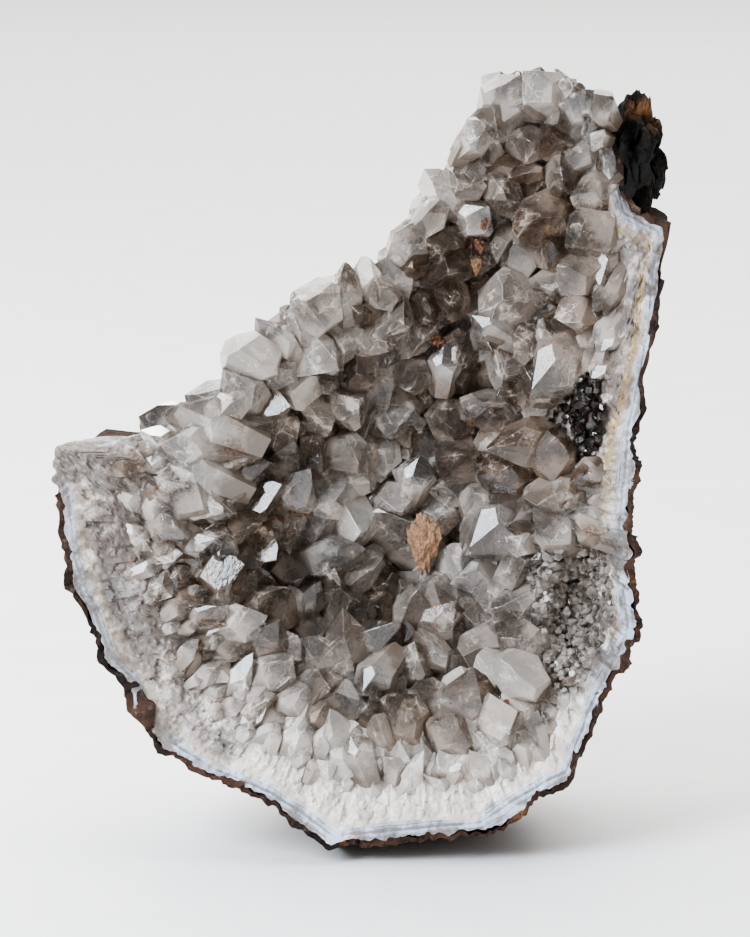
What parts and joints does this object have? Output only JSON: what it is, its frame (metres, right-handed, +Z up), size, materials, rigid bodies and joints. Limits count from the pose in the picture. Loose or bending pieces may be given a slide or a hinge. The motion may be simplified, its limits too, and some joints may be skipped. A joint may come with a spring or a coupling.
{
  "type": "goethite in quartz geode fragment",
  "caption": "Broken quartz geode bowl with smoky points, a white banded rim, goethite stains and a dark rock skin, standing on its lower edge.",
  "frame": {"origin": "on the foot's plane, under the middle of the whole piece", "axes": "+Z up along the standing height, +X to the right of the open cavity, -Y the way the cavity faces"},
  "size_m": [0.232, 0.1206, 0.287],
  "materials": {
    "quartz": "milky to smoky crystal, glassy faces, white granular rim with a pale chalcedony band",
    "rock": "rough dark brown host rock with rust stains"
  },
  "bodies": {
    "root": {"quartz_lining": "quartz", "rock_rind": "rock"}
  },
  "joints": []
}
